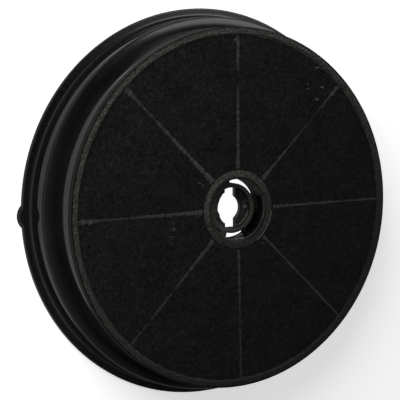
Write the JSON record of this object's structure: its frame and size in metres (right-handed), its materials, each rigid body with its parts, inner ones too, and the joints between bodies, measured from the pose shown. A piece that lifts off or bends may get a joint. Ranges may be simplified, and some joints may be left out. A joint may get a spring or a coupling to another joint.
{
  "type": "cooker hood carbon filter",
  "caption": "Round black stepped cartridge with a fleece front divided by radial ribs, carbon granules inside and a bayonet hub that locks on a cooker hood spigot.",
  "frame": {"origin": "on the hub axis, in the plane of the flange's rear face", "axes": "+Z along the hub axis, towards the fleece front; X along a partition wall, with the side tab at -X; +Y is the top of the picture"},
  "size_m": [0.2122, 0.21, 0.038],
  "materials": {
    "moulding": "semi-gloss black moulded plastic, dull where it is welded",
    "grid": "black moulded plastic",
    "fleece": "matt black non-woven fleece",
    "rear_fleece": "matt black non-woven fleece",
    "carbon": "loose granules of activated carbon"
  },
  "bodies": {
    "root": {"housing": "moulding", "front_fleece": "fleece", "rear_fleece": "rear_fleece", "rear_grid": "grid", "carbon_fill_1": "carbon", "carbon_fill_2": "carbon", "carbon_fill_3": "carbon", "carbon_fill_4": "carbon", "carbon_fill_5": "carbon", "carbon_fill_6": "carbon", "carbon_fill_7": "carbon", "carbon_fill_8": "carbon"}
  },
  "joints": []
}
